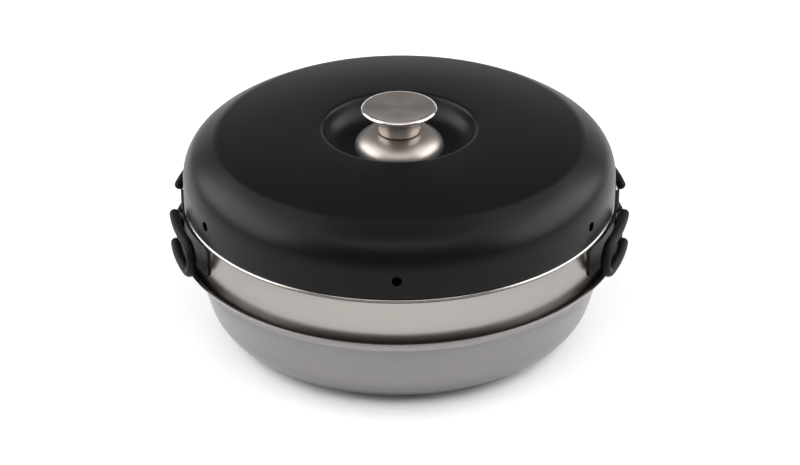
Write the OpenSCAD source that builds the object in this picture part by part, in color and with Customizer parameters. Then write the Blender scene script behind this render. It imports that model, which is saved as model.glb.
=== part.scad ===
// Stovetop ring oven for camping: a base bowl, a ring-shaped baking pan with
// folding wire handles, and a vented lid with a knob. All sizes in millimetres.
// The origin is the centre of the base bowl's foot, +Z is up, -Y is the front.

/* [Lid] */
// Outer radius of the lid's skirt
lid_r = 135; // [120:0.5:150]
// Sheet thickness of the lid
lid_t = 1.2; // [0.8:0.1:1.6]
// Height of the lid's straight skirt
skirt_h = 15.9; // [14:0.1:24]
// Radial width of the lid's soft shoulder
shoulder_w = 44.7; // [36:0.1:52]
// Height of the lid's soft shoulder
shoulder_h = 30.5; // [28:0.1:38]
// Tightest radius of the shoulder, where it leaves the skirt
shoulder_r = 24; // [18:0.5:27]
// Radius of the edge of the hollow round the knob
crater_r = 48.5; // [44:0.5:56]
// Depth of the hollow round the knob
crater_depth = 13.6; // [12:0.1:18]
// Number of vent holes in the skirt
vent_count = 6; // [4:1:8]
// Diameter of a vent hole
vent_d = 6.2; // [4:0.1:7]
// Height of the vent holes above the lid's lower edge
vent_h = 12; // [11:0.1:14]
// Gap left under the lid's edge where it rests on the pan's bead
lid_rest = 0.3; // [0.2:0.05:0.5]

/* [Baking pan] */
// Sheet thickness of the pan and the chimney
pan_t = 0.9; // [0.6:0.1:1.2]
// Radial play between the lid's skirt and the pan's neck
lid_play = 1.2; // [0.8:0.1:1.6]
// Height of the pan's bead above the base rim, the wall that shows
pan_band_h = 26.8; // [26:0.1:36]
// Radius of the swaged bead that carries the lid
bead_r = 1.8; // [1.4:0.1:2.2]
// Height of the neck above the bead, inside the lid
neck_h = 5.5; // [4:0.1:6]
// Depth of the pan's floor below its seat on the base
pan_depth = 34; // [28:0.5:36]
// Outer radius of the corner between pan wall and floor
pan_corner_r = 20; // [14:0.5:22]
// Gap round the pan's body inside the base bowl
pan_air = 1.3; // [1:0.1:2]
// Outer radius of the chimney's foot
chimney_foot_r = 33; // [32:0.5:38]
// Outer radius of the chimney's mouth
chimney_top_r = 24; // [21:0.5:28]
// Height of the chimney's mouth below the pan's mouth
chimney_drop = 3; // [1:0.5:8]

/* [Base bowl] */
// Sheet thickness of the base bowl
base_t = 0.9; // [0.6:0.1:1.2]
// Height of the ledge that carries the pan, above the foot
seat_z = 50; // [46:0.5:54]
// Radial play between the pan's wall and the foot of the flare
pan_play = 0.4; // [0.3:0.05:0.6]
// Gap between the pan's shoulder and the ledge
seat_gap = 0.3; // [0.2:0.05:0.5]
// Width of the ledge that carries the pan
seat_w = 4.3; // [3.5:0.1:5]
// Radial width of the flared rim
flare_w = 5; // [4:0.1:6]
// Height of the flared rim above the underside of the ledge
flare_h = 7.9; // [7:0.1:10]
// Slope of the bowl's wall from upright
base_taper = 15; // [10:0.5:18]
// Outer radius of the corner between bowl wall and foot
base_corner_r = 28; // [22:0.5:30]
// Radius of the burner hole
burner_hole_r = 27; // [20:0.5:28]
// Height of the turned-up collar round the burner hole
collar_h = 8; // [5:0.5:10]

/* [Handles] */
// Diameter of the handle wire
wire_d = 3; // [2.6:0.1:3.2]
// Outer diameter of the silicone grip
grip_d = 6.2; // [5.6:0.1:6.6]
// Play between the wire and its grip
grip_clear = 0.05; // [0.03:0.01:0.1]
// Gap between the base rim and the lower strand of a grip
grip_lift = 0.5; // [0.4:0.1:1]
// Drop of the upper strand below the centre of the bead
grip_drop = 2.8; // [2.7:0.1:4]
// Distance of the hinge axes from the pan's wall
hinge_stand = 5.5; // [5.3:0.1:7]
// Angle of each hinge from the side of the pan
hinge_angle = 8; // [7:0.5:10]
// Angle of the loop's far end from the side of the pan
loop_angle = 27; // [24:0.5:32]
// Bend radius of the wire where it turns down into the hinge
hook_r = 1.65; // [1.6:0.05:1.8]
// Bend radius of the wire where it turns in towards the pan
corner_r = 1.65; // [1.6:0.05:1.8]
// Radial clearance of the wire in the hinge knuckle
hinge_clear = 0.06; // [0.03:0.01:0.1]
// Wall of the hinge knuckle
knuckle_t = 1.1; // [0.8:0.1:1.3]
// Gap between the knuckle and the grips above and below it
knuckle_gap = 0.5; // [0.4:0.1:1]
// Gap between the two wire ends inside the knuckle
wire_end_gap = 2; // [1:0.5:4]
// Sheet thickness of the handle bracket
strap_t = 1.2; // [0.8:0.1:1.4]
// Stand-off of the bracket's middle from the pan's wall
strap_stand = 2.6; // [2:0.1:3]
// Half angle of the bracket's free arch
strap_angle = 26; // [24:0.5:30]
// Extra angle of the welded foot at each end of the bracket
strap_foot = 3.5; // [2.5:0.5:5]
// Height that the bracket's ends stand above its narrow middle
strap_rise = 3.2; // [2:0.1:3.5]

/* [Knob] */
// Outer radius of the knob's disc
knob_r = 23.6; // [20:0.1:28]
// Height of the knob's disc above the lid's flat top
knob_rise = 13.5; // [12:0.1:20]
// Thickness of the disc's rounded edge
knob_edge = 2.8; // [2:0.1:3]
// Depth of the shallow dish in the disc
knob_dish = 0.6; // [0.2:0.1:1]
// Radius of the neck at the disc
neck_top_r = 15.4; // [13:0.1:17]
// Radius of the neck at the dome
neck_foot_r = 12.4; // [10:0.1:13]
// Outer radius of the dome under the knob
dome_r = 27.7; // [24:0.1:30]
// Height of the dome under the knob
dome_h = 10.2; // [9:0.1:11]
// Sheet thickness of the dome
dome_t = 1; // [0.8:0.1:1.4]
// Thickness of the seal between neck and dome
seal_t = 0.8; // [0.5:0.1:1.2]
// Diameter of the knob's screw
screw_d = 6; // [5:0.5:6]
// Clearance of the holes round the screw
screw_clear = 0.3; // [0.2:0.05:0.5]
// Diameter of the screw's head
head_d = 12; // [10:0.5:13]
// Height of the screw's head
head_h = 3.6; // [3:0.1:4]
// Thickness of the plain washer under the lid
washer_t = 1.2; // [0.8:0.1:1.6]
// Radius of the plain washer under the lid
washer_r = 9; // [8:0.5:11]
// Thickness of the split lock washer
lock_t = 1; // [0.8:0.1:1.4]
// Length that the screw reaches into the neck
screw_grip = 9; // [7:0.5:10]

/* [Hidden] */

// Pan radii and heights, built up from the lid inwards and the ledge upwards
pan_r = lid_r - lid_t - lid_play;
flare_foot_r = pan_r + pan_play + base_t;
rim_r = flare_foot_r + flare_w;
ledge_under_z = seat_z - base_t;
rim_z = ledge_under_z + flare_h;
bowl_top_r = flare_foot_r - seat_w;
bowl_knee_z = base_corner_r * (1 - sin(base_taper));
foot_r = bowl_top_r - (ledge_under_z - bowl_knee_z) * tan(base_taper) - base_corner_r * cos(base_taper);
shoulder_z = seat_z + seat_gap;
pan_floor_z = shoulder_z - pan_depth;
pan_knee_z = pan_floor_z + pan_corner_r * (1 - sin(base_taper));
pan_body_r = bowl_top_r - base_t / cos(base_taper) - pan_air;
pan_flat_r = pan_body_r - (shoulder_z - pan_knee_z) * tan(base_taper) - pan_corner_r * cos(base_taper);
bead_z = rim_z + pan_band_h;
bead_out = 0.5;
bead_cr = pan_r + bead_out;
pan_top_z = bead_z + bead_r + neck_h;
bend_r = 2.5;
hem_r = 3;

// Lid heights
lid_inner_r = lid_r - lid_t;
lid_edge_z = bead_z + sqrt(pow(bead_r, 2) - pow(lid_inner_r - bead_cr, 2)) + lid_rest;
shoulder_foot_z = lid_edge_z + skirt_h;
lid_top_z = shoulder_foot_z + shoulder_h;
crater_z = lid_top_z - crater_depth;
crater_slope = 70;
crater_lip_r = 3;
crater_bowl_r = 14;
crater_lip_out = 1.5;
crater_run = (crater_depth - (crater_lip_r + crater_bowl_r) * (1 - cos(crater_slope))) / sin(crater_slope);

// Handle heights and radii
wire_r = wire_d / 2;
grip_r = grip_d / 2;
strand_low_z = rim_z + grip_lift + grip_r;
strand_high_z = bead_z - grip_drop;
handle_z = (strand_low_z + strand_high_z) / 2;
loop_r = (strand_high_z - strand_low_z) / 2;
pin_x = pan_r + hinge_stand;
hinge_r = sqrt(pow(pin_x, 2) + pow(corner_r, 2));
corner_turn = atan(corner_r / pin_x);
strand_out = hook_r + corner_r;
strand_r = pin_x + strand_out;
loop_start = loop_angle - loop_r / strand_r * 180 / PI;
loop_lead = 0.8;
lead_lap = 0.4;
lead_step = 0.02;
strand_angle = loop_start - hinge_angle - corner_turn - (loop_lead - lead_lap) / strand_r * 180 / PI;
knuckle_bore_r = wire_r - lead_step + hinge_clear;
knuckle_r = knuckle_bore_r + knuckle_t;
knuckle_h = 2 * (loop_r - grip_r - knuckle_gap);
strap_h = knuckle_h + 2 * strap_rise;
strap_crown = pan_r + strap_stand + strap_t;
strap_end_r = pan_r + strap_t;
strap_cx = (pow(strap_crown, 2) - pow(strap_end_r, 2)) / (2 * (strap_crown - strap_end_r * cos(strap_angle)));
strap_arc_r = strap_crown - strap_cx;
waist_gap = 1.5;
strap_waist = hinge_r * sin(hinge_angle) + strand_out + grip_r + waist_gap;
strap_corner_r = 4;

// Knob heights
screw_r = screw_d / 2;
hole_r = screw_r + screw_clear;
dome_top_z = crater_z + dome_h;
neck_z = dome_top_z + seal_t;
cap_top_z = lid_top_z + knob_rise;
cap_belly = 0.6;
cap_under_z = cap_top_z - knob_edge - cap_belly;
lid_under_z = crater_z - lid_t;
lock_z = lid_under_z - washer_t - lock_t;
thread_clear = 0.03;

steps = 10;
$fn = 96;

// Points along an arc, from angle a to angle b
function arc(c, r, a, b, n = steps) = [for (i = [0 : n]) c + r * [cos(a + (b - a) * i / n), sin(a + (b - a) * i / n)]];
function unit(v) = v / norm(v);
function left(v) = [-v.y, v.x];

// Shifts an open path sideways by t, with mitred corners
function shifted(p, t) = [for (i = [0 : len(p) - 1])
    let (a = unit(i > 0 ? p[i] - p[i - 1] : p[1] - p[0]))
    let (b = unit(i < len(p) - 1 ? p[i + 1] - p[i] : p[i] - p[i - 1]))
    let (m = unit(a + b))
    p[i] + t * left(m) / (m * a)];
function reversed(p) = [for (i = [len(p) - 1 : -1 : 0]) p[i]];

// A quarter of an oval from two tangent arcs, upright at [r, z] and level w in and h up
function oval_top_r(w, h, r1) = (pow(w - r1, 2) + h * h - r1 * r1) / (2 * (h - r1));
function oval(r, z, w, h, r1) =
    let (r2 = oval_top_r(w, h, r1))
    let (turn = atan2(r2 - h, w - r1))
    let (side = arc([r - r1, z], r1, 0, turn))
    let (top = arc([r - w, z + h - r2], r2, turn, 90))
    concat(side, [for (i = [1 : steps]) top[i]]);

// A sheet turned round the Z axis: skin is its outer face, the sheet lies to the left of it
module spun_sheet(skin, t) {
    rotate_extrude() polygon(concat(skin, reversed(shifted(skin, t))));
}

// Base bowl with a collared burner hole, a ledge for the pan and a flared rim
module base_bowl() {
    ledge_bend = 1.4;
    lip_h = 0.9;
    flare_lean = atan2(flare_w, flare_h);
    skin = concat(
        [[burner_hole_r, collar_h]],
        arc([burner_hole_r + hem_r, hem_r], hem_r, 180, 270),
        arc([foot_r, base_corner_r], base_corner_r, 270, 360 - base_taper),
        [[bowl_top_r - ledge_bend * tan(base_taper), ledge_under_z - ledge_bend]],
        arc([bowl_top_r + ledge_bend, ledge_under_z - ledge_bend], ledge_bend, 180 - base_taper, 90, 5),
        arc([flare_foot_r - ledge_bend, ledge_under_z + ledge_bend], ledge_bend, 270, 360 - flare_lean, 5),
        [[rim_r - lip_h / 3, rim_z - lip_h], [rim_r, rim_z - lip_h / 2], [rim_r - lip_h / 9, rim_z]]);
    color("silver") spun_sheet(skin, base_t);
}

// Ring pan: body inside the base bowl, shoulder on its ledge, wall, bead and neck
module ring_pan() {
    hole_gap = 0.2;
    mouth_round = 0.4;
    skin = concat(
        [[chimney_foot_r + hole_gap, pan_floor_z]],
        arc([pan_flat_r, pan_floor_z + pan_corner_r], pan_corner_r, 270, 360 - base_taper),
        [[pan_body_r - bend_r * tan(base_taper), shoulder_z - bend_r]],
        arc([pan_body_r + bend_r, shoulder_z - bend_r], bend_r, 180 - base_taper, 90, 5),
        arc([pan_r - bend_r, shoulder_z + bend_r], bend_r, 270, 360, 6),
        [[pan_r, bead_z - bead_r]],
        arc([bead_cr, bead_z], bead_r, -90, 90),
        [[pan_r, bead_z + bead_r]],
        [[pan_r, pan_top_z - mouth_round], [pan_r - 0.75 * mouth_round, pan_top_z]]);
    color("gainsboro") spun_sheet(skin, pan_t);
}

// Chimney cone through the pan, flanged on its floor
module chimney() {
    flange_w = 5;
    lip_h = 1.5;
    lip_in = 0.4;
    mouth_z = pan_top_z - chimney_drop;
    flange_z = pan_floor_z + pan_t;
    skin = [
        [chimney_foot_r - pan_t, pan_floor_z - lip_h],
        [chimney_foot_r - pan_t, flange_z + pan_t],
        [chimney_top_r - pan_t, mouth_z - lip_h],
        [chimney_top_r - pan_t - lip_in, mouth_z]];
    color("gainsboro") union() {
        spun_sheet(reversed(skin), pan_t);
        translate([0, 0, flange_z]) difference() {
            cylinder(r = chimney_foot_r + flange_w, h = pan_t);
            translate([0, 0, -1]) cylinder(r = chimney_foot_r - pan_t / 2, h = pan_t + 2);
        }
    }
}

// Puts a right-hand front wing at any of the four places
module at_wing(side, end) {
    mirror([side < 0 ? 1 : 0, 0, 0]) mirror([0, end > 0 ? 1 : 0, 0]) children();
}

// Turns a wing's corner so that its strands leave it along -Y
module at_corner() {
    rotate([0, 0, -hinge_angle - corner_turn]) children();
}

// The two strands of a wing, from the corner nearly to the loop's far end
module strands(r) {
    at_corner() rotate_extrude(start = -strand_angle, angle = strand_angle)
        for (z = [-loop_r, loop_r]) translate([strand_r, z]) circle(r, $fn = 48);
}

// The far end of the loop, a half ring with a short straight lead at each end
module loop_end(r) {
    rotate([0, 0, -loop_start]) translate([strand_r, 0, 0]) {
        rotate([180, -90, 0]) rotate_extrude(angle = 180) translate([loop_r, 0]) circle(r, $fn = 48);
        for (z = [-loop_r, loop_r]) translate([0, 0, z]) rotate([-90, 0, 0])
            cylinder(r = r, h = loop_lead, $fn = 48);
    }
}

// The wire's corner towards the pan, its bend downwards and its pin in the knuckle
module hook(r) {
    at_corner() translate([pin_x + hook_r, 0, loop_r]) {
        rotate_extrude(angle = 90) translate([corner_r, 0]) circle(r, $fn = 48);
        translate([0, corner_r, -hook_r]) rotate([90, 0, 0])
            rotate_extrude(start = 90, angle = 90) translate([hook_r, 0]) circle(r, $fn = 48);
        translate([-hook_r, corner_r, wire_end_gap / 2 - loop_r])
            cylinder(r = r, h = loop_r - hook_r - wire_end_gap / 2, $fn = 48);
    }
}

// Straight piece and rounded nose of the grip over the wire's corner
module grip_nose() {
    at_corner() translate([strand_r, 0, loop_r]) rotate([-90, 0, 0]) {
        cylinder(r = grip_r, h = corner_r, $fn = 48);
        translate([0, 0, corner_r]) rotate_extrude() intersection() {
            circle(grip_r, $fn = 48);
            square(grip_r);
        }
    }
}

// Wire loop of one wing as a rod of radius r
module loop_rod(r) {
    translate([0, 0, handle_z]) {
        loop_end(r);
        strands(r - lead_step);
        for (up = [0, 1]) mirror([0, 0, up]) hook(r - lead_step);
    }
}

module wire() {
    color("silver") loop_rod(wire_r);
}

// Silicone grip over the loop and its corners
module grip() {
    color([0.12, 0.12, 0.13]) difference() {
        translate([0, 0, handle_z]) {
            loop_end(grip_r);
            strands(grip_r - lead_step);
            for (up = [0, 1]) mirror([0, 0, up]) grip_nose();
        }
        loop_rod(wire_r + grip_clear);
    }
}

// Plan of the bracket: a free arch with a foot on the pan's wall at each end
module strap_plan() {
    reach = 2 * lid_r;
    foot_angle = strap_angle + strap_foot;
    difference() {
        union() {
            intersection() {
                difference() {
                    translate([strap_cx, 0]) circle(strap_arc_r, $fn = 180);
                    translate([strap_cx, 0]) circle(strap_arc_r - strap_t, $fn = 180);
                }
                polygon([[0, 0], reach * [cos(strap_angle), -sin(strap_angle)],
                    reach * [cos(strap_angle), sin(strap_angle)]]);
            }
            for (s = [-1, 1]) intersection() {
                circle(strap_end_r, $fn = 180);
                polygon([[0, 0], reach * [cos(strap_angle - 1), s * sin(strap_angle - 1)],
                    reach * [cos(foot_angle), s * sin(foot_angle)]]);
            }
        }
        circle(pan_r, $fn = 180);
    }
}

// Side outline of the bracket, wide at its ends and narrow between the grips
module strap_side() {
    half_l = strap_end_r * sin(strap_angle + strap_foot);
    cy = half_l - strap_corner_r;
    cz = strap_h / 2 - strap_corner_r;
    difference() {
        union() {
            square([2 * half_l, 2 * cz], center = true);
            square([2 * cy, strap_h], center = true);
            for (y = [-cy, cy], z = [-cz, cz]) translate([y, z]) circle(strap_corner_r, $fn = 48);
        }
        for (s = [-1, 1]) translate([0, s * (knuckle_h / 2 + strap_rise)])
            square([2 * strap_waist, 2 * strap_rise], center = true);
    }
}

// Handle bracket with a rolled knuckle for each wing
module bracket() {
    hinge_at = hinge_r * [cos(hinge_angle), sin(hinge_angle)];
    color("lightgray") translate([0, 0, handle_z]) difference() {
        union() {
            intersection() {
                translate([0, 0, -strap_h / 2 - 1]) linear_extrude(strap_h + 2) strap_plan();
                rotate([90, 0, 90]) linear_extrude(2 * lid_r) strap_side();
            }
            for (s = [-1, 1]) translate([hinge_at.x, s * hinge_at.y, -knuckle_h / 2])
                cylinder(r = knuckle_r, h = knuckle_h, $fn = 48);
        }
        for (s = [-1, 1]) translate([hinge_at.x, s * hinge_at.y, -strap_h])
            cylinder(r = knuckle_bore_r, h = 2 * strap_h, $fn = 48);
    }
}

// Lid: skirt, soft shoulder, flat top and the hollow round the knob
module lid_shell() {
    edge_round = 0.4;
    lip_c = [crater_r + crater_lip_out, lid_top_z - crater_lip_r];
    lip = arc(lip_c, crater_lip_r, 90, 90 + crater_slope, 6);
    wall_end = lip[6] + crater_run * [-cos(crater_slope), -sin(crater_slope)];
    bowl_c = wall_end + crater_bowl_r * [-sin(crater_slope), cos(crater_slope)];
    skin = concat(
        [[lid_r - edge_round / 2, lid_edge_z], [lid_r, lid_edge_z + edge_round]],
        oval(lid_r, shoulder_foot_z, shoulder_w, shoulder_h, shoulder_r),
        lip,
        arc(bowl_c, crater_bowl_r, crater_slope - 90, -90),
        [[hole_r, crater_z]]);
    color([0.11, 0.11, 0.12]) difference() {
        spun_sheet(skin, lid_t);
        for (i = [0 : vent_count - 1]) rotate([0, 0, i * 360 / vent_count - 90])
            translate([lid_r - 3 * lid_t, 0, lid_edge_z + vent_h]) rotate([0, 90, 0])
                cylinder(d = vent_d, h = 6 * lid_t, $fn = 48);
    }
}

// Domed cup that carries the knob in the lid's hollow
module knob_dome() {
    upright = 0.3;
    foot_bend = 5.5;
    skin = concat(
        [[dome_r, crater_z]],
        oval(dome_r, crater_z + upright, dome_r - neck_foot_r, dome_h - upright, foot_bend),
        [[hole_r, dome_top_z]]);
    color("silver") spun_sheet(skin, dome_t);
}

// Thin black seal between the dome and the neck
module knob_seal() {
    color([0.08, 0.08, 0.08]) translate([0, 0, dome_top_z]) difference() {
        cylinder(r = neck_foot_r + 0.2, h = seal_t);
        translate([0, 0, -1]) cylinder(r = hole_r, h = seal_t + 2);
    }
}

// Hollow conical neck with the threaded boss inside
module knob_neck() {
    neck_h = cap_under_z - neck_z;
    wall = 1.4;
    floor_t = 2;
    boss_r = screw_r + 2.5;
    color("silver") translate([0, 0, neck_z]) difference() {
        union() {
            difference() {
                cylinder(r1 = neck_foot_r, r2 = neck_top_r, h = neck_h);
                translate([0, 0, floor_t])
                    cylinder(r1 = neck_foot_r - wall, r2 = neck_top_r - wall, h = neck_h);
            }
            cylinder(r = boss_r, h = screw_grip + 1);
        }
        translate([0, 0, -1]) cylinder(r = screw_r + thread_clear, h = screw_grip + 3, $fn = 48);
    }
}

// Dished disc with a rounded edge, on top of the neck
module knob_cap() {
    edge_r = knob_edge / 2;
    dish_run = 3;
    dish_part = 0.6;
    rim = arc([knob_r - edge_r, cap_top_z - edge_r], edge_r, -90, 90);
    skin = concat(
        [[0, cap_under_z], [neck_top_r, cap_under_z]],
        rim,
        [[knob_r - dish_run, cap_top_z - knob_dish * dish_part]],
        [[knob_r / 2, cap_top_z - knob_dish], [0, cap_top_z - knob_dish]]);
    color("gainsboro") rotate_extrude() polygon(skin);
}

// Screw from under the lid up into the neck, with a hexagon socket
module knob_screw() {
    socket_r = 2.9;
    socket_depth = 2.2;
    color("silver") difference() {
        union() {
            translate([0, 0, lock_z - head_h]) cylinder(d = head_d, h = head_h, $fn = 64);
            translate([0, 0, lock_z]) cylinder(r = screw_r, h = neck_z + screw_grip - lock_z, $fn = 48);
        }
        translate([0, 0, lock_z - head_h - 1]) cylinder(r = socket_r, h = socket_depth + 1, $fn = 6);
    }
}

// Plain washer under the lid
module lid_washer() {
    color("silver") translate([0, 0, lock_z + lock_t]) difference() {
        cylinder(r = washer_r, h = washer_t, $fn = 64);
        translate([0, 0, -1]) cylinder(r = hole_r, h = washer_t + 2, $fn = 48);
    }
}

// Split lock washer above the screw's head
module lock_washer() {
    slit = 1;
    color("gray") translate([0, 0, lock_z]) difference() {
        cylinder(r = head_d / 2 - 0.5, h = lock_t, $fn = 64);
        translate([0, 0, -1]) cylinder(r = hole_r, h = lock_t + 2, $fn = 48);
        translate([0, -slit / 2, -1]) cube([head_d, slit, lock_t + 2]);
    }
}

module left_bracket() { mirror([1, 0, 0]) bracket(); }
module right_bracket() { bracket(); }
module left_front_wire() { at_wing(-1, -1) wire(); }
module left_rear_wire() { at_wing(-1, 1) wire(); }
module right_front_wire() { at_wing(1, -1) wire(); }
module right_rear_wire() { at_wing(1, 1) wire(); }
module left_front_grip() { at_wing(-1, -1) grip(); }
module left_rear_grip() { at_wing(-1, 1) grip(); }
module right_front_grip() { at_wing(1, -1) grip(); }
module right_rear_grip() { at_wing(1, 1) grip(); }

base_bowl();
ring_pan();
chimney();
left_bracket();
right_bracket();
left_front_wire();
left_rear_wire();
right_front_wire();
right_rear_wire();
left_front_grip();
left_rear_grip();
right_front_grip();
right_rear_grip();
lid_shell();
knob_dome();
knob_seal();
knob_neck();
knob_cap();
knob_screw();
lid_washer();
lock_washer();
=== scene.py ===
# %% [markdown]
# A stovetop ring oven for camping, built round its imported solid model. The model is the frame: it
# says where each sheet, wire and grip sits. Here the sheets are turned again with finer curves,
# every surface gets its real finish, and the whole is lit like a small product studio.

# %% Start and load the frame
import bpy
import math
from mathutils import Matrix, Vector


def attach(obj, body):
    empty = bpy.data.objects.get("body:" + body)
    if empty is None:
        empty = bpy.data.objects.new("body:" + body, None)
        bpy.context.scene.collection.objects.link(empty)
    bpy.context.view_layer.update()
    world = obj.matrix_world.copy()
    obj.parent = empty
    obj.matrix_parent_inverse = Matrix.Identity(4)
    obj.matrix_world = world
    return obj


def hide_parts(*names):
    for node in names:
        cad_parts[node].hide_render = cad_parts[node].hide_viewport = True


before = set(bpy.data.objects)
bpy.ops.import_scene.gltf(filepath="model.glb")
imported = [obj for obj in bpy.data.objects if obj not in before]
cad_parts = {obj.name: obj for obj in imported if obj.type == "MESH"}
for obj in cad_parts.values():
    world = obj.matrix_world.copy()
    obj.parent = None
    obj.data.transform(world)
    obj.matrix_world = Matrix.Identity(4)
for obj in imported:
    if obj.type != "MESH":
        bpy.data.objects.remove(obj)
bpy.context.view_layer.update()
MM = 0.001

# %% [markdown]
# Colours are written as the hex values a designer reads off a screen. The renderer works with
# linear light, so one function turns them. A second small function adds a node to a material,
# sets it and links it, so that each material below reads like a parts list.

# %% Colour and node helpers
def linear(hex_colour):
    values = [int(hex_colour[i:i + 2], 16) / 255 for i in (1, 3, 5)]
    return [v / 12.92 if v <= 0.04045 else ((v + 0.055) / 1.055) ** 2.4 for v in values] + [1.0]


def add(tree, kind, inputs=None, **settings):
    node = tree.nodes.new(kind)
    for name, value in settings.items():
        setattr(node, name, value)
    for name, value in (inputs or {}).items():
        if isinstance(value, bpy.types.NodeSocket):
            tree.links.new(value, node.inputs[name])
        else:
            node.inputs[name].default_value = value
    return node


def new_material(name):
    material = bpy.data.materials.new(name)
    material.use_nodes = True
    tree = material.node_tree
    return material, tree, tree.nodes["Principled BSDF"]


print("black in linear light:", [round(v, 4) for v in linear("#1A1A1C")[:3]])

# %% [markdown]
# Nearly every piece of this oven is spun or turned: a flat profile swept once round the upright
# axis. So the profile is drawn first as a chain of points, millimetres out from the axis and up
# from the ground. Arcs come from their centre, radius and two angles, as on a workshop drawing.
# A sheet's inner face is its outer face moved inwards by the sheet's thickness.

# %% Profile helpers
def arc(centre, radius, start, end, count):
    out = []
    for i in range(count + 1):
        a = math.radians(start + (end - start) * i / count)
        out.append((centre[0] + radius * math.cos(a), centre[1] + radius * math.sin(a)))
    return out


def without_repeats(points, least=0.01):
    out = [points[0]]
    for p in points[1:]:
        if math.dist(p, out[-1]) > least:
            out.append(p)
    return out


def inner_face(points, thickness):
    out = []
    for i, p in enumerate(points):
        before = points[max(i - 1, 0)]
        after = points[min(i + 1, len(points) - 1)]
        run = Vector((after[0] - before[0], after[1] - before[1])).normalized()
        out.append((p[0] - run.y * thickness, p[1] + run.x * thickness))
    return out[::-1]


print("quarter arc:", len(arc((0, 0), 1, 0, 90, 8)), "points")

# %% [markdown]
# The profile becomes a mesh as it would by hand: a plane is merged to one point, the point is
# extruded along the chain, and the chain is spun round the axis. Doubled points at the seam are
# merged and the faces are turned outwards. Shading stays smooth but keeps edges over 35 degrees.

# %% Turning a profile round the axis
SHARP_ANGLE = math.radians(35)


def deselect():
    if bpy.context.object and bpy.context.object.mode != "OBJECT":
        bpy.ops.object.mode_set(mode="OBJECT")
    bpy.ops.object.select_all(action="DESELECT")


def select_only(piece):
    deselect()
    piece.select_set(True)
    bpy.context.view_layer.objects.active = piece


def finish_shading(piece):
    select_only(piece)
    bpy.ops.object.shade_smooth_by_angle(angle=SHARP_ANGLE)


def turned(name, points, steps=180):
    points = without_repeats(points)
    deselect()
    bpy.ops.mesh.primitive_plane_add(size=MM, location=(0, 0, 0))
    piece = bpy.context.object
    piece.name = name
    bpy.ops.object.mode_set(mode="EDIT")
    bpy.ops.mesh.select_all(action="SELECT")
    bpy.ops.mesh.merge(type="CENTER")
    bpy.ops.transform.translate(value=(points[0][0] * MM, 0, points[0][1] * MM))
    last = points[0]
    for p in points[1:] + points[:1]:
        step = ((p[0] - last[0]) * MM, 0, (p[1] - last[1]) * MM)
        bpy.ops.mesh.extrude_region_move(TRANSFORM_OT_translate={"value": step})
        last = p
    bpy.ops.mesh.select_all(action="SELECT")
    bpy.ops.mesh.spin(steps=steps, angle=2 * math.pi, center=(0, 0, 0), axis=(0, 0, 1))
    bpy.ops.mesh.select_all(action="SELECT")
    bpy.ops.mesh.remove_doubles(threshold=0.002 * MM)
    bpy.ops.mesh.normals_make_consistent(inside=False)
    bpy.ops.object.mode_set(mode="OBJECT")
    finish_shading(piece)
    print(name, len(piece.data.polygons), "faces")
    return piece


# %% [markdown]
# The lid is one pressed steel sheet with a black baked coating. Its middle is pressed down into
# a hollow for the knob: a rounded lip, a steep wall, and a wide curve that ends in a flat floor
# with the screw's hole.

# %% Lid hollow
LID_R = 135.0
LID_TOP_Z = 132.17
SCREW_HOLE_R = 3.3
HOLLOW_R = 48.5
HOLLOW_DEPTH = 13.6
HOLLOW_Z = LID_TOP_Z - HOLLOW_DEPTH
HOLLOW_SLOPE = 70
HOLLOW_CURVE_R = 14.0
LIP_R = 3.0
LIP_CENTRE_R = HOLLOW_R + LIP_R / 2

slope_angle = math.radians(HOLLOW_SLOPE)
slope = Vector((-math.cos(slope_angle), -math.sin(slope_angle)))
curves_drop = (LIP_R + HOLLOW_CURVE_R) * (1 - math.cos(slope_angle))
slope_run = (HOLLOW_DEPTH - curves_drop) / math.sin(slope_angle)
lip = arc((LIP_CENTRE_R, LID_TOP_Z - LIP_R), LIP_R, 90, 90 + HOLLOW_SLOPE, 10)
wall_end = Vector(lip[-1]) + slope * slope_run
curve_centre = wall_end + Vector((slope.y, -slope.x)) * HOLLOW_CURVE_R
hollow = lip + arc(curve_centre, HOLLOW_CURVE_R, HOLLOW_SLOPE - 90, -90, 14)
hollow += [(SCREW_HOLE_R, HOLLOW_Z)]
print("hollow:", len(hollow), "points, floor at", round(HOLLOW_Z, 2), "mm")

# %% [markdown]
# The lid's skirt is upright. Its shoulder starts with a tight curve and opens to a wider one. A
# bend leads to the top, which is faintly domed. That bend draws the sharp upper edge of the
# shoulder's sheen. The outer face is drawn from the lower edge to the middle, and the inner face
# follows it one sheet thickness away.

# %% Lid profile
LID_T = 1.2
LID_EDGE_Z = 85.76
SKIRT_H = 15.9
SHOULDER_Z = LID_EDGE_Z + SKIRT_H
TIGHT_R = 24.0
TIGHT_END = 55.13
WIDE_R = 60.21
WIDE_CENTRE = (90.3, SHOULDER_Z - 29.71)
WIDE_END = 61.5
TOP_BEND_R = 15.0
TOP_BEND_CENTRE = (109.41, 113.02)
TOP_BEND_END = 82
CROWN_R = 441.89

edge = [(LID_R - 0.25, LID_EDGE_Z), (LID_R - 0.07, LID_EDGE_Z + 0.1), (LID_R, LID_EDGE_Z + 0.35)]
skirt = [(LID_R, LID_EDGE_Z + h) for h in (3.0, 8.9, 12.0, 15.1)]
shoulder = arc((LID_R - TIGHT_R, SHOULDER_Z), TIGHT_R, 0, TIGHT_END, 16)
shoulder += arc(WIDE_CENTRE, WIDE_R, TIGHT_END, WIDE_END, 5)
shoulder += arc(TOP_BEND_CENTRE, TOP_BEND_R, WIDE_END, TOP_BEND_END, 12)
crown = arc((LIP_CENTRE_R, LID_TOP_Z - CROWN_R), CROWN_R, TOP_BEND_END, 90, 24)
lid_face = edge + skirt + shoulder + crown + hollow
lid = turned("lid_shell_spun", lid_face + inner_face(lid_face, LID_T))

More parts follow.
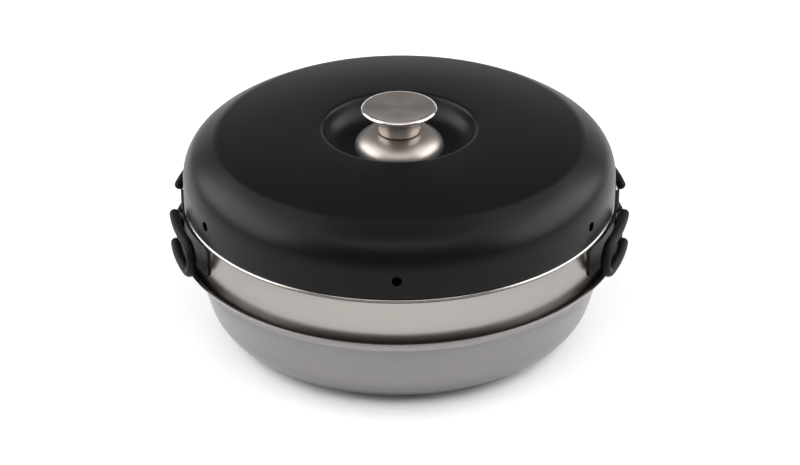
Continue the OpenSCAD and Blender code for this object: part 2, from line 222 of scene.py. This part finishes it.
# %% [markdown]
# Steam leaves through round vents drilled in the skirt. One drill is placed at the front,
# repeated round the axis in even steps, and all of them are cut from the shell in one boolean.

# %% Lid vents
VENTS = 6
VENT_D = 6.2
VENT_Z = LID_EDGE_Z + 12.0
DRILL_LENGTH = 8.0
drills = []
for i in range(VENTS):
    turn = math.radians(360 / VENTS * i - 90)
    deselect()
    bpy.ops.mesh.primitive_cylinder_add(
        vertices=40,
        radius=VENT_D / 2 * MM,
        depth=DRILL_LENGTH * MM,
        location=(LID_R * MM * math.cos(turn), LID_R * MM * math.sin(turn), VENT_Z * MM),
        rotation=(0, math.pi / 2, turn),
    )
    drills.append(bpy.context.object)
deselect()
for drill in drills:
    drill.select_set(True)
bpy.context.view_layer.objects.active = drills[0]
bpy.ops.object.join()
drill = bpy.context.object

select_only(lid)
cut = lid.modifiers.new("Vents", "BOOLEAN")
cut.operation = "DIFFERENCE"
cut.object = drill
cut.solver = "EXACT"
bpy.ops.object.modifier_apply(modifier=cut.name)
bpy.data.objects.remove(drill)
finish_shading(lid)
print("lid with", VENTS, "vents:", len(lid.data.polygons), "faces")

# %% [markdown]
# The ring pan is the bright band under the lid. Its body hangs inside the base bowl, a shoulder
# carries it on the bowl's ledge, and a bead swaged out of the wall carries the lid. A bead made
# by rollers has no corners, so it is drawn as one smooth swell.

# %% Ring pan
WALL_TAPER = 15
PAN_R = 132.6
SHEET_T = 0.9
FLOOR_HOLE_R = 33.2
FLOOR_Z = 16.3
FLOOR_FLAT_R = 102.91
FLOOR_CORNER_R = 20.0
BODY_R = 127.37
SEAT_Z = 50.3
SEAT_BEND_R = 2.5
BEAD_Z = 83.8
BEAD_HALF = 2.5
BEAD_OUT = 2.3
PAN_TOP_Z = 91.1
taper = math.tan(math.radians(WALL_TAPER))


def bead(r, z, out, half, count=14):
    points = []
    for i in range(count + 1):
        t = -1 + 2 * i / count
        points.append((r + out * math.cos(math.pi / 2 * t) ** 2, z + half * t))
    return points


pan_face = (
    [(r, FLOOR_Z) for r in (FLOOR_HOLE_R, 60.0, 90.0)]
    + arc((FLOOR_FLAT_R, FLOOR_Z + FLOOR_CORNER_R), FLOOR_CORNER_R, 270, 360 - WALL_TAPER, 14)
    + [(BODY_R - SEAT_BEND_R * taper, SEAT_Z - SEAT_BEND_R)]
    + arc((BODY_R + SEAT_BEND_R, SEAT_Z - SEAT_BEND_R), SEAT_BEND_R, 180 - WALL_TAPER, 90, 7)
    + arc((PAN_R - SEAT_BEND_R, SEAT_Z + SEAT_BEND_R), SEAT_BEND_R, 270, 360, 8)
    + [(PAN_R, z) for z in (58.0, 66.0, 74.0)]
    + bead(PAN_R, BEAD_Z, BEAD_OUT, BEAD_HALF)
    + [(PAN_R, PAN_TOP_Z - 0.6), (PAN_R - 0.15, PAN_TOP_Z - 0.15), (PAN_R - 0.4, PAN_TOP_Z)]
)
pan = turned("ring_pan_spun", pan_face + inner_face(pan_face, SHEET_T))

# %% [markdown]
# The base bowl is one spun sheet too. From the burner hole's turned-up collar the skin runs out
# over the foot, round the corner, up the tapered wall, out over the ledge and up the flare,
# which opens like a trumpet towards its edge.

# %% Base bowl
COLLAR_R = 27.0
COLLAR_TOP_Z = 8.0
COLLAR_BEND_R = 3.0
FOOT_R = 94.96
CORNER_R = 28.0
WALL_TOP_R = 129.6
LEDGE_Z = 49.1
LEDGE_BEND_R = 1.4
FLARE_R = 133.9
FLARE_BEND_R = 1.0
FLARE_CURVE = [(134.4, 51.7), (135.0, 53.1), (135.8, 54.4), (136.8, 55.4), (137.9, 56.1)]
RIM_R = 138.9
RIM_Z = 57.0
rim = [(0.3, 0.65), (0.0, 0.4), (0.05, 0.15), (0.3, 0.0)]

base_face = (
    [(COLLAR_R, COLLAR_TOP_Z), (COLLAR_R, 5.0)]
    + arc((COLLAR_R + COLLAR_BEND_R, COLLAR_BEND_R), COLLAR_BEND_R, 180, 270, 8)
    + [(50.0, 0.0), (75.0, 0.0)]
    + arc((FOOT_R, CORNER_R), CORNER_R, 270, 360 - WALL_TAPER, 20)
    + [(WALL_TOP_R - LEDGE_BEND_R * taper, LEDGE_Z - LEDGE_BEND_R)]
    + arc(
        (WALL_TOP_R + LEDGE_BEND_R, LEDGE_Z - LEDGE_BEND_R), LEDGE_BEND_R, 180 - WALL_TAPER, 90, 6
    )
    + arc((FLARE_R - FLARE_BEND_R, LEDGE_Z + FLARE_BEND_R), FLARE_BEND_R, 270, 350, 5)
    + FLARE_CURVE
    + [(RIM_R - inwards, RIM_Z - below) for inwards, below in rim]
)
base = turned("base_bowl_spun", base_face + inner_face(base_face, SHEET_T))

# %% [markdown]
# The knob is a satin disc on a turned neck, standing on a pressed cup that spans the lid's
# hollow. The disc is slightly dished and its edge is rounded over. A quarter of an oval draws a
# rounding that is wider than it is high, for this edge and for the cup.

# %% Knob disc
KNOB_R = 23.6
KNOB_RISE = 13.5
CAP_T = 3.4
CAP_TOP_Z = LID_TOP_Z + KNOB_RISE
CAP_UNDER_Z = CAP_TOP_Z - CAP_T
CAP_FACE_Z = CAP_UNDER_Z + 0.02
EDGE_R = 1.4
EDGE_W = 2.6
EDGE_H = 1.5
dish = [(20.0, 0.12), (18.6, 0.36), (15.0, 0.52), (10.0, 0.58), (2.0, 0.6), (0.0, 0.6)]


def oval(r, z, width, height, count):
    out = []
    for i in range(count + 1):
        a = math.radians(90 * i / count)
        out.append((r - width + width * math.cos(a), z + height * math.sin(a)))
    return out


cap_profile = (
    [(0.0, CAP_FACE_Z), (2.0, CAP_FACE_Z), (16.4, CAP_FACE_Z), (21.6, CAP_TOP_Z - 2.95)]
    + arc((KNOB_R - EDGE_R, CAP_TOP_Z - EDGE_H), EDGE_R, -85, 0, 10)
    + oval(KNOB_R, CAP_TOP_Z - EDGE_H, EDGE_W, EDGE_H, 14)
    + [(r, CAP_TOP_Z - below) for r, below in dish]
)
cap = turned("knob_disc_turned", cap_profile)

# %% [markdown]
# The neck is a short cone that widens upwards to the disc, so it takes upright stripes of light.
# It is hollow round a boss that takes the screw. The cup under it is pressed from thin sheet.

# %% Knob neck and cup
CUP_R = 27.7
CUP_H = 10.2
CUP_T = 1.0
CUP_EDGE_H = 0.3
CUP_ROUND_W = 15.3
CUP_ROUND_H = 9.9
SEAL_T = 0.8
NECK_Z = HOLLOW_Z + CUP_H + SEAL_T
NECK_FOOT_R = 13.2
NECK_FLARE = 3.4
NECK_STEPS = 14
NECK_BORE_R = 3.03
BOSS_R = 5.5

neck_profile = [(NECK_BORE_R, NECK_Z)]
for i in range(NECK_STEPS + 1):
    height = (CAP_UNDER_Z - NECK_Z) * i / NECK_STEPS
    neck_profile.append((NECK_FOOT_R + NECK_FLARE * (i / NECK_STEPS), NECK_Z + height))
neck_profile += [(13.2, CAP_UNDER_Z), (11.0, NECK_Z + 2.0), (BOSS_R, NECK_Z + 2.0)]
neck_profile += [(BOSS_R, NECK_Z + 10.0), (NECK_BORE_R, NECK_Z + 10.0)]
neck = turned("knob_neck_turned", neck_profile, steps=96)

cup_face = [(CUP_R, HOLLOW_Z)]
cup_face += oval(CUP_R, HOLLOW_Z + CUP_EDGE_H, CUP_ROUND_W, CUP_ROUND_H, 22)
cup_face += [(SCREW_HOLE_R, HOLLOW_Z + CUP_H)]
cup = turned("knob_cup_pressed", cup_face + inner_face(cup_face, CUP_T), steps=128)

# %% [markdown]
# The coating on the lid is a baked black non-stick paint. It is satin: soft edges on every
# reflection, a faint orange-peel ripple, and only a thin gloss where one looks along it. The
# ripple is about one millimetre wide on a real lid.

# %% Finish: baked black coating
coating, tree, shader = new_material("baked_black_coating")
place = add(tree, "ShaderNodeTexCoord").outputs["Object"]
peel = add(tree, "ShaderNodeTexNoise", {"Vector": place, "Scale": 900.0, "Detail": 3.0})
cloud = add(tree, "ShaderNodeTexNoise", {"Vector": place, "Scale": 22.0, "Detail": 2.0})
tint = add(
    tree,
    "ShaderNodeMix",
    {"Factor": cloud.outputs["Fac"], "A": linear("#060607"), "B": linear("#0A090C")},
    data_type="RGBA",
)
rough = add(
    tree, "ShaderNodeMapRange", {"Value": cloud.outputs["Fac"], "To Min": 0.33, "To Max": 0.38}
)
ripple = add(
    tree, "ShaderNodeBump", {"Height": peel.outputs["Fac"], "Strength": 0.06, "Distance": 0.0002}
)
tree.links.new(tint.outputs["Result"], shader.inputs["Base Color"])
tree.links.new(rough.outputs["Result"], shader.inputs["Roughness"])
tree.links.new(ripple.outputs["Normal"], shader.inputs["Normal"])
shader.inputs["Specular IOR Level"].default_value = 0.14
print("coating:", coating.name)

# %% [markdown]
# The pan and the bowl are stainless steel, brushed while they turned on a lathe. The scratches
# run round the axis, so the pattern changes quickly with height and with distance from the axis
# and hardly at all round it. Real scratches are a tenth of a millimetre wide; they are drawn
# about half a millimetre wide, or they would vanish in the picture.

# %% Pattern: fine lines round the axis
DRIFT = 60.0


def lathe_pattern(tree, line_mm):
    place = add(tree, "ShaderNodeTexCoord").outputs["Object"]
    parts = add(tree, "ShaderNodeSeparateXYZ", {"Vector": place})
    flat = add(
        tree, "ShaderNodeCombineXYZ", {"X": parts.outputs["X"], "Y": parts.outputs["Y"]}
    ).outputs["Vector"]
    out = add(tree, "ShaderNodeVectorMath", {0: flat}, operation="LENGTH").outputs["Value"]
    fine = 1.0 / (line_mm * MM)
    across = add(tree, "ShaderNodeMath", {0: out, 1: fine}, operation="MULTIPLY")
    up = add(tree, "ShaderNodeMath", {0: parts.outputs["Z"], 1: fine}, operation="MULTIPLY")
    rings = add(
        tree, "ShaderNodeCombineXYZ", {"X": across.outputs["Value"], "Z": up.outputs["Value"]}
    )
    drift = add(tree, "ShaderNodeVectorMath", {0: flat, "Scale": DRIFT}, operation="SCALE")
    total = add(
        tree,
        "ShaderNodeVectorMath",
        {0: rings.outputs["Vector"], 1: drift.outputs["Vector"]},
        operation="ADD",
    )
    return add(
        tree,
        "ShaderNodeTexNoise",
        {"Vector": total.outputs["Vector"], "Scale": 1.0, "Detail": 4.0, "Roughness": 0.65},
    )


print("line pattern: drawn", DRIFT, "times a metre along the lines")

# %% [markdown]
# Brushed steel is a bare metal, so its colour is the colour of its reflections. The lines change
# the colour and the roughness a little, stand a hair proud of the surface, and stretch every
# highlight across them.

# %% Finish: brushed stainless steel
def brushed_steel(name, dark, light, rough_low, rough_high, line_mm, bump, stretch):
    material, tree, shader = new_material(name)
    lines = lathe_pattern(tree, line_mm).outputs["Fac"]
    tint = add(
        tree,
        "ShaderNodeMix",
        {"Factor": lines, "A": linear(dark), "B": linear(light)},
        data_type="RGBA",
    )
    rough = add(
        tree, "ShaderNodeMapRange", {"Value": lines, "To Min": rough_low, "To Max": rough_high}
    )
    relief = add(tree, "ShaderNodeBump", {"Height": lines, "Strength": bump, "Distance": 0.00005})
    round_axis = add(tree, "ShaderNodeTangent", direction_type="RADIAL", axis="Z")
    tree.links.new(tint.outputs["Result"], shader.inputs["Base Color"])
    tree.links.new(rough.outputs["Result"], shader.inputs["Roughness"])
    tree.links.new(relief.outputs["Normal"], shader.inputs["Normal"])
    tree.links.new(round_axis.outputs["Tangent"], shader.inputs["Tangent"])
    shader.inputs["Metallic"].default_value = 1.0
    shader.inputs["Anisotropic"].default_value = stretch
    shader.inputs["Anisotropic Rotation"].default_value = 0.25
    print("steel:", name)
    return material


band_steel = brushed_steel(
    "brushed_stainless_pan", "#96918D", "#A19C98", 0.23, 0.29, 0.5, 0.1, 0.35
)
bowl_steel = brushed_steel(
    "brushed_stainless_bowl", "#888585", "#928F8F", 0.28, 0.33, 0.5, 0.09, 0.35
)
disc_steel = brushed_steel("satin_turned_disc", "#ABA39E", "#BAB2AD", 0.30, 0.40, 0.35, 0.2, 0.6)
cup_steel = brushed_steel("satin_pressed_cup", "#9D9691", "#A8A19C", 0.40, 0.46, 0.5, 0.05, 0.3)
neck_steel = brushed_steel("satin_turned_neck", "#B5ACA5", "#BFB7B0", 0.27, 0.33, 0.4, 0.05, 0.3)

# %% [markdown]
# The disc's face is satin, but its rounded edge is polished. Both are one piece of metal, so
# they stay one material: outside a given radius a lower roughness for the polish and a brighter
# colour, a painted highlight, are mixed in, over a soft border less than a millimetre wide.

# %% Finish: polished edge of the disc, with a painted highlight
POLISH_R = 21.2
POLISH_BORDER = 0.4


def polish_and_highlight_outside(material, radius_mm, colour, roughness):
    tree = material.node_tree
    shader = tree.nodes["Principled BSDF"]
    satin_colour = shader.inputs["Base Color"].links[0].from_socket
    satin_roughness = shader.inputs["Roughness"].links[0].from_socket
    place = add(tree, "ShaderNodeTexCoord").outputs["Object"]
    flat = add(tree, "ShaderNodeVectorMath", {0: place, 1: (1, 1, 0)}, operation="MULTIPLY")
    out = add(tree, "ShaderNodeVectorMath", {0: flat.outputs["Vector"]}, operation="LENGTH")
    border = {
        "Value": out.outputs["Value"],
        "From Min": (radius_mm - POLISH_BORDER) * MM,
        "From Max": (radius_mm + POLISH_BORDER) * MM,
    }
    edge = add(tree, "ShaderNodeMapRange", border).outputs["Result"]
    tint = add(
        tree,
        "ShaderNodeMix",
        {"Factor": edge, "A": satin_colour, "B": linear(colour)},
        data_type="RGBA",
    )
    smooth = add(
        tree,
        "ShaderNodeMix",
        {"Factor": edge, "A": satin_roughness, "B": roughness},
        data_type="FLOAT",
    )
    tree.links.new(tint.outputs["Result"], shader.inputs["Base Color"])
    tree.links.new(smooth.outputs["Result"], shader.inputs["Roughness"])
    print("polished edge:", material.name)


# The edge's brighter colour is a painted highlight; its lower roughness is the polish.
polish_and_highlight_outside(disc_steel, POLISH_R, "#E2DAD5", 0.22)

# %% [markdown]
# The grips are silicone hose and the seal is rubber. Both are matte black with the faintest
# sheen, so a fine grain carries their roughness.

# %% Finish: silicone and rubber
def soft_black(name, colour, roughness, grain_mm):
    material, tree, shader = new_material(name)
    place = add(tree, "ShaderNodeTexCoord").outputs["Object"]
    grain = add(
        tree, "ShaderNodeTexNoise", {"Vector": place, "Scale": 1 / (grain_mm * MM), "Detail": 3.0}
    ).outputs["Fac"]
    spread = {"Value": grain, "To Min": roughness - 0.05, "To Max": roughness + 0.05}
    rough = add(tree, "ShaderNodeMapRange", spread)
    relief = add(tree, "ShaderNodeBump", {"Height": grain, "Strength": 0.1, "Distance": 0.0001})
    tree.links.new(rough.outputs["Result"], shader.inputs["Roughness"])
    tree.links.new(relief.outputs["Normal"], shader.inputs["Normal"])
    shader.inputs["Base Color"].default_value = linear(colour)
    shader.inputs["Specular IOR Level"].default_value = 0.12
    print("soft part:", name)
    return material


silicone = soft_black("matte_silicone_hose", "#050506", 0.5, 0.8)
rubber = soft_black("black_seal_rubber", "#0B0B0B", 0.6, 0.6)

# %% [markdown]
# The wires are bright drawn steel, the straps that carry them are steel painted dark, and the
# screw and its washers are plain stock parts. All are bare metal without brushed lines.

# %% Finish: wire, strap and stock steel
def plain_steel(name, colour, roughness, grain_mm):
    material, tree, shader = new_material(name)
    place = add(tree, "ShaderNodeTexCoord").outputs["Object"]
    grain = add(
        tree, "ShaderNodeTexNoise", {"Vector": place, "Scale": 1 / (grain_mm * MM), "Detail": 2.0}
    ).outputs["Fac"]
    spread = {"Value": grain, "To Min": roughness - 0.04, "To Max": roughness + 0.04}
    rough = add(tree, "ShaderNodeMapRange", spread)
    tree.links.new(rough.outputs["Result"], shader.inputs["Roughness"])
    shader.inputs["Base Color"].default_value = linear(colour)
    shader.inputs["Metallic"].default_value = 1.0
    print("steel:", name)
    return material


drawn_wire = plain_steel("drawn_steel_wire", "#BDB8B3", 0.22, 1.0)
# The strap's dark colour is a painted reflection of the black grips beside it.
strap_painted_dark = plain_steel("strap_steel_painted_dark_reflection", "#2E2C2B", 0.5, 1.5)
stock_steel = plain_steel("plain_stock_steel", "#A5A5A3", 0.3, 1.0)

# %% [markdown]
# Each new piece takes its finish, rides on its body and stands for the solid it replaces. The
# solids that are right as they are stay, and get the same finishes.

# %% Dress the pieces
def dress(piece, material, body, node):
    piece.data.materials.clear()
    piece.data.materials.append(material)
    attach(piece, body)
    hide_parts(node)


dress(lid, coating, "lid", "lid_shell")
dress(pan, band_steel, "pan", "ring_pan")
dress(base, bowl_steel, "base", "base_bowl")
dress(cap, disc_steel, "lid", "knob_cap")
dress(neck, neck_steel, "lid", "knob_neck")
dress(cup, cup_steel, "lid", "knob_dome")

kept = {
    "chimney": band_steel,
    "knob_seal": rubber,
    "knob_screw": stock_steel,
    "lid_washer": stock_steel,
    "lock_washer": stock_steel,
}
for side in ("left", "right"):
    kept[side + "_bracket"] = strap_painted_dark
    for end in ("front", "rear"):
        kept[side + "_" + end + "_wire"] = drawn_wire
        kept[side + "_" + end + "_grip"] = silicone
for name, material in kept.items():
    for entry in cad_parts[name].material_slots:
        entry.material = material
print("kept solids:", len(kept))

# %% [markdown]
# The set is a pale table in a dim white room. The floor stays out of the object's own pieces
# and belongs to the stage.

# %% Floor and room
FLOOR_SIZE = 12.0
FLOOR_DROP = 0.0002
deselect()
bpy.ops.mesh.primitive_plane_add(size=FLOOR_SIZE, location=(0, 0, -FLOOR_DROP))
floor = bpy.context.object
floor.name = "pale_floor"
floor_paint, tree, shader = new_material("pale_studio_floor")
shader.inputs["Base Color"].default_value = linear("#F4F4F4")
shader.inputs["Roughness"].default_value = 0.8
floor.data.materials.append(floor_paint)

world = bpy.data.worlds.new("dim_room")
bpy.context.scene.world = world
world.use_nodes = True
room = world.node_tree.nodes["Background"]
room.inputs["Color"].default_value = linear("#FFFFFF")
room.inputs["Strength"].default_value = 0.22
print("floor", FLOOR_SIZE, "m wide")

# %% [markdown]
# The light is soft. A wide low panel on each side draws the broad sheen on the lid's shoulders,
# a weaker high one carries that sheen round, and a low one behind lights the far edge of the
# lid. The front panel lightens the knob's cup and the bright walls, and the one above is weak,
# so that the top of the lid stays black.

# %% Soft light panels
def panel(name, place, target, width, height, power):
    deselect()
    bpy.ops.object.light_add(type="AREA", location=place)
    lamp = bpy.context.object
    lamp.name = name
    lamp.data.shape = "RECTANGLE"
    lamp.data.size = width
    lamp.data.size_y = height
    lamp.data.energy = power
    aim = Vector(target) - Vector(place)
    lamp.rotation_euler = aim.to_track_quat("-Z", "Y").to_euler()
    print("light", name, power, "W")


panel("panel_left", (-1.4, 0.1, 0.8), (0, 0, 0.08), 2.0, 1.0, 31)
panel("panel_right", (1.4, 0.1, 0.8), (0, 0, 0.08), 2.0, 1.0, 31)
panel("panel_high_left", (-1.15, 0.0, 1.75), (0, 0, 0.1), 1.4, 0.9, 9)
panel("panel_high_right", (1.15, 0.0, 1.75), (0, 0, 0.1), 1.4, 0.9, 9)
panel("panel_above", (0, 0.5, 2.5), (0, 0, 0), 2.0, 1.2, 4)
panel("panel_front", (0, -1.25, 2.1), (0, 0, 0.1), 2.4, 0.9, 17)
panel("panel_behind", (0, 2.3, 0.34), (0, 0, 0.1), 3.0, 0.6, 5.5)

# %% [markdown]
# The camera stands where the photographer stood: far back with a long lens, looking down 28.55
# degrees. The object sits a little off the lens's axis, so the frame is shifted and not turned.

# %% Camera
LOOK_DOWN = 28.55
camera_data = bpy.data.cameras.new("long_lens")
camera = bpy.data.objects.new("long_lens", camera_data)
bpy.context.collection.objects.link(camera)
camera.location = (0.02391, -1.5811, 0.9173)
camera.rotation_euler = (math.radians(90 - LOOK_DOWN), 0, 0)
camera_data.sensor_width = 36.0
camera_data.lens = 128.03
camera_data.shift_x = -0.0472
camera_data.clip_end = 50
bpy.context.scene.camera = camera
bpy.context.scene.view_settings.view_transform = "Standard"
print("camera at", [round(v, 3) for v in camera.location])
